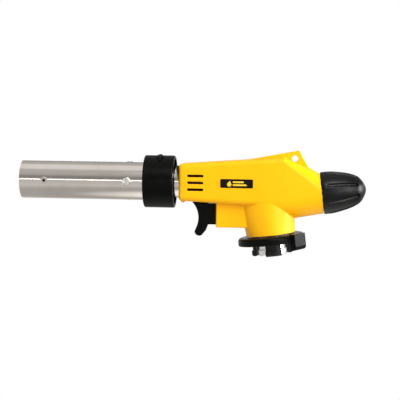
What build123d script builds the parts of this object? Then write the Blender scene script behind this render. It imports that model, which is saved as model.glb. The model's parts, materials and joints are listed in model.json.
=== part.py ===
from build123d import *
import os
from math import asin, cos, radians, sin, sqrt

# Cartridge blow torch head. Units are millimetres, +Z is up.
# The origin is the centre of the face that sits on the gas cartridge. The cartridge axis is Z, the
# gas knob points along +X, and the burner runs towards -X and rises a little. The two halves of the
# housing meet in the XZ plane; the near half is on the -Y side.

# Axes
BURNER_TILT = 7.2  # degrees that the burner rises towards its mouth
BURNER_HEIGHT = 37.85  # where the burner axis crosses the cartridge axis
VALVE_HEIGHT = 27.7  # needle valve and knob axis

# Fits, radial
SEATED = 0.03  # pieces assembled for good
RUNNING = 0.08  # pieces that turn or slide on each other
CLEAR = 0.3  # pieces that pass each other

# Housing; "along" distances run on the burner axis from the cartridge axis towards the mouth
WALL = 1.8
HOUSING_FRONT = 53.8
BARREL_TOP = (11.7, 15.6)  # above the burner axis, at the front and at the root
BARREL_BOTTOM = (11.5, 14.2)
BARREL_SIDE = (12.0, 13.8)
BARREL_CORNER = 3.4
SLEEVE_SUPPORT = 4.5  # thickness of the front wall that holds the sleeve
CREASE_X = 13.6  # where the sides start to close towards the knob
REAR_X = 34.5
REAR_SIDE = 12.8
REAR_EDGE = 0.6
ROOF_ROOT = 53.45  # top of the housing above the cartridge axis
ROOF_CREASE = 52.75
ROOF_REAR = 40.4
NECK_BOTTOM = 5.7
NECK_TOP = 30.0
NECK_R = 15.3
NECK_FLARE = 18.0  # half length of the neck where it runs into the barrel
BLOCK_FRONT = 30.4  # trigger block
BLOCK_REAR = 6.5
BLOCK_BOTTOM = 28.0  # below the burner axis
BLOCK_SIDE = 7.5
BLOCK_WALL = 1.5
FIN_THICKNESS = 5.0
HANG_HOLE = (20.4, 51.2)  # x, z
HANG_HOLE_R = 2.0
SLOT_LENGTH = 10.3
SLOT_HEIGHT = 1.65
SLOT_PITCH = 4.3
SLOT_ALONG = 43.3
LABEL_SIZE = (20.3, 5.4, 0.7)
LABEL_ALONG = 17.4
LABEL_RECESS = 0.4

# Housing screws: along, rise from the burner axis
SCREW_PLACES = ((24.0, 9.3), (25.0, -9.6), (-17.5, 7.0), (-25.8, -17.1))
BOSS_R = 2.6
BOSS_HEAD_R = 3.6  # round the counterbore
SCREW_R = 1.25
SCREW_HEAD_R = 2.3
SCREW_HEAD = 1.6
SCREW_SEAT = 7.0  # y of the counterbore's floor
SCREW_TIP = -6.0

# Burner
TUBE_R = 12.0
TUBE_WALL = 0.8
TUBE_REAR = 67.6
TUBE_MOUTH = 155.1
SLEEVE_R = 10.2
SLEEVE_WALL = 1.0
SLEEVE_REAR = 35.0
SLEEVE_FRONT = 78.0
BUSH_REAR = 69.0
BUSH_FRONT = 92.0
TUBE_SCREWS_ALONG = 86.8
TUBE_SCREW_R = 1.2
TUBE_SCREW_HEAD_R = 2.7
TUBE_SCREW_HEAD = 1.0
RIVETS_ALONG = 139.0
RIVET_R = 1.4
RIVET_BORE = 1.0  # hollow rivets
RIVET_HEAD_R = 2.3
RIVET_HEAD = 0.45
RING_REAR = 132.0
RING_FRONT = 145.0
MIXING_R = 6.3
MIXING_REAR = 54.0
MIXING_FRONT = 112.0
HEAD_REAR = 104.0
HEAD_FRONT = 114.0
WINDOW_REAR = 59.5
WINDOW_FRONT = 65.0
WINDOW_SPAN = 55.0  # degrees

# Air collar
COLLAR_REAR = 57.05
COLLAR_FRONT = 76.3
COLLAR_R = 16.6
COLLAR_EDGE = 1.0
COLLAR_SHELL = 2.2
POINTER_ALONG = 66.2
POINTER_TURN = 20.0  # degrees from straight up towards the near side

# Gas train
JET_HOLDER_REAR = 24.0
JET_HOLDER_FRONT = 42.0
JET_FRONT = 50.0
PIPE_R = 2.0
VALVE_BODY_R = 8.5
VALVE_BARREL_R = 7.2
VALVE_BARREL_END = 29.0
NEEDLE_R = 2.45
GLAND_HEX = 11.6  # across flats
GLAND_END = 33.0

# Knob
KNOB_BASE = 34.9
KNOB_R = 13.3
KNOB_TIP = 62.3
GROOVES = 8
GROOVE_WIDTH = 1.7
GROOVE_FLOOR = ((37.7, 13.4), (39.2, 12.6), (44.0, 11.9), (50.0, 10.4), (55.0, 8.5), (57.5, 7.1))  # x, radius
INSERT_R = 4.0

# Cartridge end
GUIDE_R = 21.0
GUIDE_THICKNESS = 4.8
GUIDE_BLOCK_TURN = -40.0  # degrees about Z from +X
GUIDE_BLOCK_ROOT = 19.6  # the block's inner face
GUIDE_BLOCK_R = 23.8
GUIDE_BLOCK_SIDE = 5.3
GUIDE_BLOCK_BOTTOM = -4.9
GUIDE_BLOCK_TOP = 5.3
HUB_R = 12.3
CLAW_R = 13.1
CLAW_BOTTOM = -7.6
CLAW_LIP = 3.6
CLAW_SPAN = 46.0  # degrees
CLAW_TURN = -86.0  # of the claw that faces the near side
BOSS_OUT_R = 10.2
BOSS_BOTTOM = -7.4
BOSS_RIM_R = 9.3
BOSS_RIM_TOP = -3.6
BOSS_NECK_R = 8.6
STEM_R = 2.1  # socket for the cartridge's 4 mm stem

# Trigger and igniter
TRIGGER_TRAVEL = 4.8
TRIGGER_SIDE = 4.8
PIEZO_REAR = 7.4
PIEZO_FRONT = 18.4
PIEZO_AXIS = -20.0  # rise
PLUNGER_R = 2.6
SPRING_R = 3.55
SPRING_WIRE = 0.3
SPRING_TURNS = 5
LEAD_R = 0.8
LEAD_PLACE = (5.8, -5.8)  # side and rise of the lead inside the sleeve

os.makedirs("parts", exist_ok=True)

tilt = radians(BURNER_TILT)
AHEAD = Vector(-cos(tilt), 0, sin(tilt))
RISE = Vector(sin(tilt), 0, cos(tilt))
BURNER_AXIS = Axis((0, 0, BURNER_HEIGHT), AHEAD)
BURNER_SIDE = Plane(origin=(0, 0, BURNER_HEIGHT), x_dir=AHEAD, z_dir=(0, 1, 0))
VALVE_AXIS = Axis((0, 0, VALVE_HEIGHT), (1, 0, 0))
VALVE_SIDE = Plane(origin=(0, 0, VALVE_HEIGHT), x_dir=(1, 0, 0), z_dir=(0, -1, 0))


def at(along, rise=0.0, side=0.0):
    """Point by its distance along the burner axis, above it, and to the far side."""
    return Vector(0, side, BURNER_HEIGHT) + AHEAD * along + RISE * rise


def burner_plane(along):
    """Plane square to the burner axis: x to the near side, y up, normal towards the mouth."""
    return Plane(origin=at(along), x_dir=(0, -1, 0), z_dir=AHEAD)


def valve_plane(x):
    """Plane square to the valve axis: x to the far side, y up, normal towards the knob."""
    return Plane(origin=(x, 0, VALVE_HEIGHT), x_dir=(0, 1, 0), z_dir=(1, 0, 0))


def outline(plane, points):
    """A face on a plane, bounded by straight runs through the points."""
    with BuildSketch(plane) as shape:
        with BuildLine():
            Polyline(*points, close=True)
        make_face()
    return shape.sketch


def ring_outline(plane, start, end, inner, outer):
    """Half section of a plain ring, for a revolve."""
    return outline(plane, [(start, inner), (end, inner), (end, outer), (start, outer)])


def disc(plane, radius, inner=0.0):
    """A disc or a washer on a plane."""
    with BuildSketch(plane) as shape:
        Circle(radius)
        if inner > 0:
            Circle(inner, mode=Mode.SUBTRACT)
    return shape.sketch


def sector(plane, inner, outer, middle, span):
    """A slice of a washer about its middle direction, in degrees."""
    reach = outer * 1.5
    half = radians(span / 2)
    with BuildSketch(plane) as shape:
        Circle(outer)
        Circle(inner, mode=Mode.SUBTRACT)
        with BuildSketch(mode=Mode.INTERSECT):
            with Locations(Rotation(0, 0, middle)):
                Polygon(
                    (0, 0), (reach * cos(half), -reach * sin(half)), (reach * cos(half), reach * sin(half)),
                    align=None,
                )
    return shape.sketch


def bar(points, half_width):
    """A flat-sided piece with its outline in the housing's middle plane, equally thick on both sides."""
    with BuildPart() as form:
        extrude(outline(BURNER_SIDE.offset(-half_width), points), amount=2 * half_width)
    return form.part


def finish(part, name):
    """Name a finished piece and write its file."""
    part.label = name
    export_step(part, f"parts/{name}.step")


# Housing

def between(pair, along):
    """Value at a distance along the barrel, between its front and its root."""
    return pair[1] + (pair[0] - pair[1]) * along / HOUSING_FRONT


def rounded_box(width, height, inset):
    """Outer sections have round corners; the hollow's are square, which leaves an even enough wall."""
    if inset:
        Rectangle(width, height)
    else:
        RectangleRounded(width, height, BARREL_CORNER)


def barrel_section(along, inset):
    top = between(BARREL_TOP, along) - inset
    bottom = between(BARREL_BOTTOM, along) - inset
    side = between(BARREL_SIDE, along) - inset
    with BuildSketch(burner_plane(along)) as section:
        with Locations((0, (top - bottom) / 2)):
            rounded_box(2 * side, top + bottom, inset)
    return section.sketch


def root_section(inset):
    """Section where the barrel meets the rear body, in the plane through the cartridge axis."""
    top = ROOF_ROOT - inset
    bottom = BURNER_HEIGHT - BARREL_BOTTOM[1] + inset
    plane = Plane(origin=(0, 0, (top + bottom) / 2), x_dir=(0, -1, 0), z_dir=(-1, 0, 0))
    with BuildSketch(plane) as section:
        rounded_box(2 * (BARREL_SIDE[1] - inset), top - bottom, inset)
    return section.sketch


def rear_section(x, side, roof, corner):
    """Section with a half round bottom about the valve axis, flat sides and a rounded roof."""
    top = roof - VALVE_HEIGHT
    with BuildSketch(valve_plane(x)) as section:
        with BuildLine():
            CenterArc((0, 0), side, 180, 180)
            Line((side, 0), (side, top - corner))
            CenterArc((side - corner, top - corner), corner, 0, 90)
            Line((side - corner, top), (corner - side, top))
            CenterArc((corner - side, top - corner), corner, 90, 90)
            Line((-side, top - corner), (-side, 0))
        make_face()
    return section.sketch


def neck_section(height, length, width):
    with BuildSketch(Plane.XY.offset(height)) as section:
        Ellipse(length, width)
    return section.sketch


def housing_form(inset):
    """Outer form of the housing, or with an inset the hollow inside it."""
    front = HOUSING_FRONT - (SLEEVE_SUPPORT if inset else 0)
    side = BARREL_SIDE[1] - inset
    rear = REAR_X - inset
    rear_side = REAR_SIDE - inset
    corner = BARREL_CORNER - inset * 0.8
    with BuildPart() as form:
        loft([barrel_section(front, inset), root_section(inset)])
        if not inset:
            front_face = form.faces().sort_by(BURNER_AXIS)[-1]
            fillet(front_face.edges(), 2.2)
        loft([
            rear_section(0, side, ROOF_ROOT - inset, corner),
            rear_section(CREASE_X, side, ROOF_CREASE - inset, corner),
        ])
        loft([
            rear_section(CREASE_X, side, ROOF_CREASE - inset, corner),
            rear_section(rear, rear_side, ROOF_REAR - inset * 0.5, rear_side - 0.6),
        ])
        if not inset:
            rear_face = form.faces().sort_by(Axis.X)[-1]
            fillet(rear_face.edges(), REAR_EDGE)
        loft([
            neck_section(NECK_BOTTOM, NECK_R - inset, NECK_R - inset),
            neck_section(NECK_TOP, NECK_FLARE - inset, side - 0.4),
        ])
    return form.part


def block_form(front, rear, bottom, side):
    """Plain box of the trigger block, outside or inside."""
    corners = [(rear, -bottom), (front, -bottom), (front, -12), (rear, -12)]
    return bar(corners, side)


outer_form = housing_form(0)
hollow_form = housing_form(WALL)
block_outside = block_form(BLOCK_FRONT, BLOCK_REAR, BLOCK_BOTTOM, BLOCK_SIDE)
block_hollow = block_form(
    BLOCK_FRONT - BLOCK_WALL, BLOCK_REAR, BLOCK_BOTTOM - BLOCK_WALL + 0.3, BLOCK_SIDE - BLOCK_WALL
)

with BuildPart() as block:
    add(block_outside)
    fillet(block.edges().filter_by(Axis((0, 0, 0), RISE)), 1.2)
    fillet(block.faces().sort_by(Axis((0, 0, 0), RISE))[0].edges(), 0.7)

with BuildPart() as fin:
    with BuildSketch(Plane.XZ) as fin_shape:
        with BuildLine():
            Polyline(
                (-10.4, 53.9), (23.6, 56.0), (28.2, 44.9), (31.5, 42.4), (26, 38), (13.6, 50), (-10.4, 50),
                close=True,
            )
        make_face()
        fillet(fin_shape.vertices().sort_by(Axis.Z)[-1], 1.3)
    extrude(amount=FIN_THICKNESS / 2, both=True)
    chamfer(fin.faces().filter_by(Axis.Y).edges(), 0.5)

with BuildPart() as bosses:
    for place in SCREW_PLACES:
        centre = at(*place)
        post = Plane(origin=centre, x_dir=(1, 0, 0), z_dir=(0, 1, 0))
        extrude(disc(post, BOSS_R), amount=15, both=True)
        extrude(disc(post.offset(SCREW_SEAT - 1.4), BOSS_HEAD_R), amount=9)
    add(outer_form, mode=Mode.INTERSECT)

label_side = between(BARREL_SIDE, LABEL_ALONG)
side_taper = asin((BARREL_SIDE[1] - BARREL_SIDE[0]) / HOUSING_FRONT)
near = Vector(0, -1, 0)
LABEL_PLANE = Plane(
    origin=at(LABEL_ALONG, 0, -label_side),
    x_dir=near * sin(side_taper) - AHEAD * cos(side_taper),
    z_dir=near * cos(side_taper) + AHEAD * sin(side_taper),
)


def label_shape(plane, play):
    with BuildSketch(plane) as shape:
        RectangleRounded(LABEL_SIZE[0] + play, LABEL_SIZE[1] + play, 0.6)
    return shape.sketch


with BuildPart() as housing:
    add(outer_form)
    add(block)
    add(fin)
    bead = Plane(origin=at(51.4, -11.3), x_dir=(1, 0, 0), z_dir=(0, 1, 0))
    extrude(disc(bead, 1.5), amount=6, both=True)
    add(hollow_form, mode=Mode.SUBTRACT)
    add(block_hollow, mode=Mode.SUBTRACT)
    # ribs that hold the sleeve's rear end, the valve column and the valve barrel
    extrude(barrel_section(35.6, WALL - 0.3), amount=1.6)
    extrude(neck_section(11.0, NECK_R - 1.2, NECK_R - 1.3), amount=1.6)
    extrude(disc(valve_plane(24.0), 11.8), amount=1.6)
    add(bosses)
    # ways through for the sleeve, the valve and its gland
    extrude(disc(burner_plane(34.0), SLEEVE_R + SEATED), amount=24, mode=Mode.SUBTRACT)
    extrude(disc(Plane.XY.offset(9.0), VALVE_BODY_R + SEATED), amount=6, mode=Mode.SUBTRACT)
    extrude(disc(valve_plane(20.0), VALVE_BARREL_R + SEATED), amount=9, mode=Mode.SUBTRACT)
    extrude(disc(valve_plane(28.0), 7.1), amount=10, mode=Mode.SUBTRACT)
    # trigger opening in the front of the block
    mouth = [(28.0, -26.65), (31.0, -26.65), (31.0, -12.95), (28.0, -12.95)]
    add(bar(mouth, TRIGGER_SIDE + CLEAR), mode=Mode.SUBTRACT)
    # cooling slots through both sides
    with BuildSketch(BURNER_SIDE) as slots:
        with Locations(*[(SLOT_ALONG, row * SLOT_PITCH) for row in (-1, 0, 1)]):
            SlotOverall(SLOT_LENGTH, SLOT_HEIGHT)
    extrude(amount=20, both=True, mode=Mode.SUBTRACT)
    hang = Plane(origin=(HANG_HOLE[0], 0, HANG_HOLE[1]), x_dir=(1, 0, 0), z_dir=(0, 1, 0))
    extrude(disc(hang, HANG_HOLE_R), amount=10, both=True, mode=Mode.SUBTRACT)


def screw_posts(start, depth, radius):
    """Round bars on every housing screw's axis, from y = start for a depth."""
    with BuildPart() as posts:
        for place in SCREW_PLACES:
            centre = at(*place)
            extrude(
                disc(Plane(origin=(centre.X, start, centre.Z), x_dir=(1, 0, 0), z_dir=(0, 1, 0)), radius),
                amount=depth,
            )
    return posts.part


with BuildPart() as housing_near:
    add(housing)
    split(bisect_by=Plane.XZ, keep=Keep.TOP)
    add(screw_posts(SCREW_TIP - 0.4, 7, SCREW_R + SEATED), mode=Mode.SUBTRACT)
    extrude(label_shape(LABEL_PLANE.offset(2), 0.1), amount=-2 - LABEL_RECESS, mode=Mode.SUBTRACT)
finish(housing_near.part, "housing_near")

with BuildPart() as housing_far:
    add(housing)
    split(bisect_by=Plane.XZ, keep=Keep.BOTTOM)
    add(screw_posts(-1, 12, SCREW_R + CLEAR), mode=Mode.SUBTRACT)
    add(screw_posts(SCREW_SEAT, 12, SCREW_HEAD_R + 0.15), mode=Mode.SUBTRACT)
finish(housing_far.part, "housing_far")

with BuildPart() as label_plate:
    extrude(label_shape(LABEL_PLANE.offset(-LABEL_RECESS), 0), amount=LABEL_SIZE[2])
    chamfer(label_plate.faces().sort_by(Axis.Y)[0].edges(), 0.15)
finish(label_plate.part, "label_plate")


def cross_recess(plane, reach, depth):
    """Solid of a cross-shaped screwdriver recess, cut from a head whose top lies on the plane."""
    with BuildPart() as cross:
        with BuildSketch(plane.offset(-depth)):
            Rectangle(reach * 2, reach * 0.45)
            Rectangle(reach * 0.45, reach * 2)
        extrude(amount=depth * 2)
    return cross.part


with BuildPart() as housing_screws:
    add(screw_posts(SCREW_TIP, SCREW_SEAT - SCREW_TIP, SCREW_R))
    add(screw_posts(SCREW_SEAT, SCREW_HEAD, SCREW_HEAD_R))
    for place in SCREW_PLACES:
        centre = at(*place)
        top = Plane(origin=(centre.X, SCREW_SEAT + SCREW_HEAD, centre.Z), x_dir=(1, 0, 0), z_dir=(0, 1, 0))
        add(cross_recess(top, 1.3, 1.0), mode=Mode.SUBTRACT)
finish(housing_screws.part, "housing_screws")


# Burner: pieces turned about the burner axis, outlines as (along, radius)

def spread(count, first=0.0):
    """Evenly spaced directions in degrees."""
    return [first + 360 * number / count for number in range(count)]


def burner_ray(along, turn, radius=0.0):
    """Plane that looks out from the burner axis; turn is degrees from the near side towards the top."""
    outward = near * cos(radians(turn)) + RISE * sin(radians(turn))
    return Plane(origin=at(along) + outward * radius, x_dir=AHEAD, z_dir=outward)


TUBE_SCREW_TURNS = spread(3)
RIVET_TURNS = spread(3)
TUBE_BORE = TUBE_R - TUBE_WALL

with BuildPart() as burner_tube:
    revolve(ring_outline(BURNER_SIDE, TUBE_REAR, TUBE_MOUTH, TUBE_BORE, TUBE_R), axis=BURNER_AXIS)
    for turn in TUBE_SCREW_TURNS:
        extrude(disc(burner_ray(TUBE_SCREWS_ALONG, turn, 10), TUBE_SCREW_R + SEATED), amount=4, mode=Mode.SUBTRACT)
    for turn in RIVET_TURNS:
        extrude(disc(burner_ray(RIVETS_ALONG, turn, 10), RIVET_R + SEATED), amount=4, mode=Mode.SUBTRACT)
finish(burner_tube.part, "burner_tube")

with BuildPart() as tube_screws:
    for turn in TUBE_SCREW_TURNS:
        extrude(disc(burner_ray(TUBE_SCREWS_ALONG, turn, 9.9), TUBE_SCREW_R), amount=2.3)
        head_plane = burner_ray(TUBE_SCREWS_ALONG, turn, TUBE_R)
        extrude(disc(head_plane, TUBE_SCREW_HEAD_R), amount=TUBE_SCREW_HEAD, taper=12)
        add(cross_recess(head_plane.offset(TUBE_SCREW_HEAD), 1.5, 0.7), mode=Mode.SUBTRACT)
finish(tube_screws.part, "tube_screws")

with BuildPart() as mouth_rivets:
    for turn in RIVET_TURNS:
        extrude(disc(burner_ray(RIVETS_ALONG, turn, 10.3), RIVET_R, RIVET_BORE), amount=TUBE_R - 10.3)
        extrude(disc(burner_ray(RIVETS_ALONG, turn, TUBE_R), RIVET_HEAD_R, RIVET_BORE), amount=RIVET_HEAD)
finish(mouth_rivets.part, "mouth_rivets")

with BuildPart() as tube_bush:
    bush_outline = [
        (BUSH_REAR, SLEEVE_R + SEATED), (SLEEVE_FRONT + 0.1, SLEEVE_R + SEATED), (SLEEVE_FRONT + 0.1, 9.6),
        (BUSH_FRONT, 9.6), (BUSH_FRONT, TUBE_BORE - SEATED), (BUSH_REAR, TUBE_BORE - SEATED),
    ]
    revolve(outline(BURNER_SIDE, bush_outline), axis=BURNER_AXIS)
    for turn in TUBE_SCREW_TURNS:
        extrude(disc(burner_ray(TUBE_SCREWS_ALONG, turn, 8), TUBE_SCREW_R + SEATED), amount=5, mode=Mode.SUBTRACT)
finish(tube_bush.part, "tube_bush")

with BuildPart() as air_sleeve:
    revolve(
        ring_outline(BURNER_SIDE, SLEEVE_REAR, SLEEVE_FRONT, SLEEVE_R - SLEEVE_WALL, SLEEVE_R), axis=BURNER_AXIS
    )
    for turn in spread(3, 30):
        window = sector(burner_plane(WINDOW_REAR), 8.5, 11.0, turn, WINDOW_SPAN)
        extrude(window, amount=WINDOW_FRONT - WINDOW_REAR, mode=Mode.SUBTRACT)
finish(air_sleeve.part, "air_sleeve")

with BuildPart() as flame_ring:
    ring_section = [
        (RING_REAR, TUBE_BORE - SEATED), (RING_FRONT, TUBE_BORE - SEATED), (RING_FRONT, 9.4),
        (RING_FRONT - 0.6, 9.4), (RING_FRONT - 0.6, 10.6), (RING_REAR, 10.6),
    ]
    revolve(outline(BURNER_SIDE, ring_section), axis=BURNER_AXIS)
    for turn in RIVET_TURNS:
        extrude(disc(burner_ray(RIVETS_ALONG, turn, 9), RIVET_R + SEATED), amount=4, mode=Mode.SUBTRACT)
finish(flame_ring.part, "flame_ring")

with BuildPart() as mixing_tube:
    tube_section = [
        (MIXING_REAR, 7.2), (MIXING_REAR + 4.5, MIXING_R), (MIXING_FRONT, MIXING_R),
        (MIXING_FRONT, MIXING_R - 0.6), (MIXING_REAR + 4.5, MIXING_R - 0.6), (MIXING_REAR, 6.5),
    ]
    revolve(outline(BURNER_SIDE, tube_section), axis=BURNER_AXIS)
finish(mixing_tube.part, "mixing_tube")

lead_radius = sqrt(LEAD_PLACE[0] ** 2 + LEAD_PLACE[1] ** 2)
with BuildPart() as flame_holder:
    head_section = [
        (HEAD_REAR, MIXING_R + SEATED), (HEAD_FRONT - 1.9, MIXING_R + SEATED), (HEAD_FRONT - 1.9, 0),
        (HEAD_FRONT, 0), (HEAD_FRONT, 7.2), (HEAD_REAR + 3, 7.2), (HEAD_REAR + 3, TUBE_BORE - SEATED),
        (HEAD_REAR, TUBE_BORE - SEATED),
    ]
    revolve(outline(BURNER_SIDE, head_section), axis=BURNER_AXIS)
    with BuildSketch(burner_plane(HEAD_REAR - 1)) as ports:
        with PolarLocations(lead_radius + 0.8, 12):
            Circle(0.9)
        with PolarLocations(4.1, 8):
            Circle(0.9)
        Circle(1.3)
        with Locations((-LEAD_PLACE[0], LEAD_PLACE[1])):
            Circle(1.5)
    extrude(amount=14, mode=Mode.SUBTRACT)
finish(flame_holder.part, "flame_holder")

# Air collar: a shell over a shutter ring that covers the sleeve's windows

with BuildPart() as pointer:
    turn = 90 - POINTER_TURN
    with BuildSketch(burner_ray(POINTER_ALONG, turn, COLLAR_R - 0.8)):
        Polygon((2.3, 0), (0, 6.0), (-2.3, 0), (0, -6.0), align=None)
    extrude(amount=4)
    revolve(ring_outline(BURNER_SIDE, 55, 75, 5, COLLAR_R + 0.8), axis=BURNER_AXIS, mode=Mode.INTERSECT)

with BuildPart() as air_collar:
    collar_section = [
        (COLLAR_REAR, COLLAR_R), (COLLAR_FRONT, COLLAR_R), (COLLAR_FRONT, TUBE_R + RUNNING),
        (TUBE_REAR - 0.4, TUBE_R + RUNNING), (TUBE_REAR - 0.4, SLEEVE_R + RUNNING),
        (COLLAR_REAR + 1.2, SLEEVE_R + RUNNING), (COLLAR_REAR + 1.2, SLEEVE_R + 1.5),
        (WINDOW_FRONT + 0.6, SLEEVE_R + 1.5), (WINDOW_FRONT + 0.6, COLLAR_R - COLLAR_SHELL),
        (COLLAR_REAR, COLLAR_R - COLLAR_SHELL),
    ]
    revolve(outline(BURNER_SIDE, collar_section), axis=BURNER_AXIS)
    outer_rims = air_collar.edges().filter_by(GeomType.CIRCLE).filter_by(lambda rim: rim.radius > COLLAR_R - 0.1)
    fillet(outer_rims, COLLAR_EDGE)
    for turn in spread(3, 30):
        window = sector(burner_plane(WINDOW_REAR), SLEEVE_R - 0.5, SLEEVE_R + 2.2, turn, WINDOW_SPAN)
        extrude(window, amount=WINDOW_FRONT - WINDOW_REAR, mode=Mode.SUBTRACT)
    add(pointer)
finish(air_collar.part, "air_collar")

# Gas train

with BuildPart() as jet_holder:
    with BuildSketch(burner_plane(JET_HOLDER_REAR)):
        RegularPolygon(5.0, 6, major_radius=False)
    extrude(amount=6)
    revolve(ring_outline(BURNER_SIDE, JET_HOLDER_REAR + 5, JET_HOLDER_FRONT, 0, 4.6), axis=BURNER_AXIS)
    with BuildSketch(burner_plane(SLEEVE_REAR + 1.2)):
        with PolarLocations(6.0, 3, start_angle=30):
            Rectangle(6.2, 4.5)
        with BuildSketch(mode=Mode.INTERSECT):
            Circle(SLEEVE_R - SLEEVE_WALL - SEATED)
    extrude(amount=2.4)
    bore_section = [
        (JET_HOLDER_REAR - 1, 0), (JET_HOLDER_FRONT + 1, 0), (JET_HOLDER_FRONT + 1, 2.5), (36.5, 2.5),
        (36.5, 1.2), (JET_HOLDER_REAR + 6, 1.2), (JET_HOLDER_REAR + 6, PIPE_R + SEATED),
        (JET_HOLDER_REAR - 1, PIPE_R + SEATED),
    ]
    revolve(outline(BURNER_SIDE, bore_section), axis=BURNER_AXIS, mode=Mode.SUBTRACT)
finish(jet_holder.part, "jet_holder")

with BuildPart() as jet_nozzle:
    nozzle_section = [
        (37.0, 1.2), (37.0, 2.5 - SEATED), (JET_HOLDER_FRONT, 2.5 - SEATED), (JET_HOLDER_FRONT, 3.2),
        (JET_HOLDER_FRONT + 3, 3.2), (JET_HOLDER_FRONT + 3, 2.0), (JET_FRONT - 0.8, 2.0), (JET_FRONT, 1.2),
        (JET_FRONT, 0.2), (JET_FRONT - 1.5, 0.2), (JET_FRONT - 2.5, 1.2),
    ]
    revolve(outline(BURNER_SIDE, nozzle_section), axis=BURNER_AXIS)
finish(jet_nozzle.part, "jet_nozzle")

with BuildPart() as gas_pipe:
    revolve(ring_outline(BURNER_SIDE, 6.2, JET_HOLDER_REAR + 5.9, 1.2, PIPE_R), axis=BURNER_AXIS)
finish(gas_pipe.part, "gas_pipe")

VALVE_FLANGE = (6.0, 8.4)  # heights
SHANK_R = 6.0
SHANK_TOP = 9.9
CHAMBER_R = 3.0
SEAL_ROOM = (25.2, 27.2)  # x of the needle seal's groove
SEAL_ROOM_R = 4.05

with BuildPart() as valve_block:
    extrude(disc(Plane.XY.offset(VALVE_FLANGE[0]), 13.1), amount=VALVE_FLANGE[1] - VALVE_FLANGE[0])
    extrude(disc(Plane.XY.offset(8.0), VALVE_BODY_R), amount=35.5)
    chamfer(valve_block.faces().sort_by(Axis.Z)[-1].edges(), 1.0)
    extrude(disc(valve_plane(0), VALVE_BARREL_R), amount=VALVE_BARREL_END)
    extrude(disc(burner_plane(0), 5.0), amount=13)
    # inlet way, from the cartridge up to the needle chamber
    extrude(disc(Plane.XY.offset(5), SHANK_R + SEATED), amount=SHANK_TOP - 4.9, mode=Mode.SUBTRACT)
    extrude(disc(Plane.XY.offset(5), 1.6), amount=VALVE_HEIGHT - 10, mode=Mode.SUBTRACT)
    # needle way with the seal groove and the gland's seat
    needle_way = [
        (-5.5, 0), (31, 0), (31, 4.45), (SEAL_ROOM[1], 4.45), (SEAL_ROOM[1], SEAL_ROOM_R),
        (SEAL_ROOM[0], SEAL_ROOM_R), (SEAL_ROOM[0], CHAMBER_R), (2, CHAMBER_R), (2, 0.8), (-5.5, 0.8),
    ]
    revolve(outline(VALVE_SIDE, needle_way), axis=VALVE_AXIS, mode=Mode.SUBTRACT)
    extrude(disc(Plane(origin=(7.2, 0, 18)), 1.2), amount=VALVE_HEIGHT - 18, mode=Mode.SUBTRACT)
    # outlet way to the gas pipe
    extrude(disc(Plane(origin=(-4.6, 0, VALVE_HEIGHT - 1)), 1.2), amount=12, mode=Mode.SUBTRACT)
    outlet_way = [(3.5, 0), (14, 0), (14, PIPE_R + SEATED), (6.1, PIPE_R + SEATED), (6.1, 1.2), (3.5, 1.2)]
    revolve(outline(BURNER_SIDE, outlet_way), axis=BURNER_AXIS, mode=Mode.SUBTRACT)
    # cross drilling that joins the inlet way to the needle chamber
    extrude(disc(Plane(origin=(-1, 0, 18.2), x_dir=(0, 1, 0), z_dir=(1, 0, 0)), 1.2), amount=9.4, mode=Mode.SUBTRACT)
finish(valve_block.part, "valve_block")

with BuildPart() as valve_needle:
    needle_section = [
        (0.2, 0), (0.2, 0.15), (4.2, 1.5), (4.2, 2.1), (12, 2.1), (12, 2.92), (22, 2.92), (22, NEEDLE_R),
        (45.4, NEEDLE_R), (45.4, 0),
    ]
    revolve(outline(VALVE_SIDE, needle_section), axis=VALVE_AXIS)
finish(valve_needle.part, "valve_needle")

with BuildPart() as needle_o_ring:
    with BuildSketch(VALVE_SIDE):
        with Locations((sum(SEAL_ROOM) / 2, 3.26)):
            Circle(0.76)
    revolve(axis=VALVE_AXIS)
finish(needle_o_ring.part, "needle_o_ring")

with BuildPart() as gland_nut:
    with BuildSketch(valve_plane(VALVE_BARREL_END)):
        RegularPolygon(GLAND_HEX / 2, 6, major_radius=False)
    extrude(amount=GLAND_END - VALVE_BARREL_END)
    extrude(disc(valve_plane(SEAL_ROOM[1] + 0.1), 4.42), amount=VALVE_BARREL_END - SEAL_ROOM[1])
    extrude(disc(valve_plane(20), NEEDLE_R + RUNNING), amount=20, mode=Mode.SUBTRACT)
finish(gland_nut.part, "gland_nut")

# Knob



def groove_tool(turn):
    """Solid of one finger groove: a round-ended slot from outside, with a floor that follows the grip."""
    outward = Vector(0, -sin(radians(turn)), cos(radians(turn)))
    first = GROOVE_FLOOR[0][0]
    last = GROOVE_FLOOR[-1][0]
    above = Plane(origin=Vector((first + last) / 2, 0, VALVE_HEIGHT) + outward * KNOB_R, x_dir=(1, 0, 0), z_dir=outward)
    lengthwise = Plane(origin=VALVE_SIDE.origin, x_dir=(1, 0, 0), z_dir=Vector(1, 0, 0).cross(outward))
    with BuildPart() as tool:
        with BuildSketch(above):
            SlotOverall(last - first, GROOVE_WIDTH)
        extrude(amount=KNOB_R / 2, both=True)
        over_floor = [(last, KNOB_R + 2), (first, KNOB_R + 2)]
        extrude(
            outline(lengthwise, [*GROOVE_FLOOR, *over_floor]), amount=GROOVE_WIDTH, both=True, mode=Mode.INTERSECT
        )
    return tool.part


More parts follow.
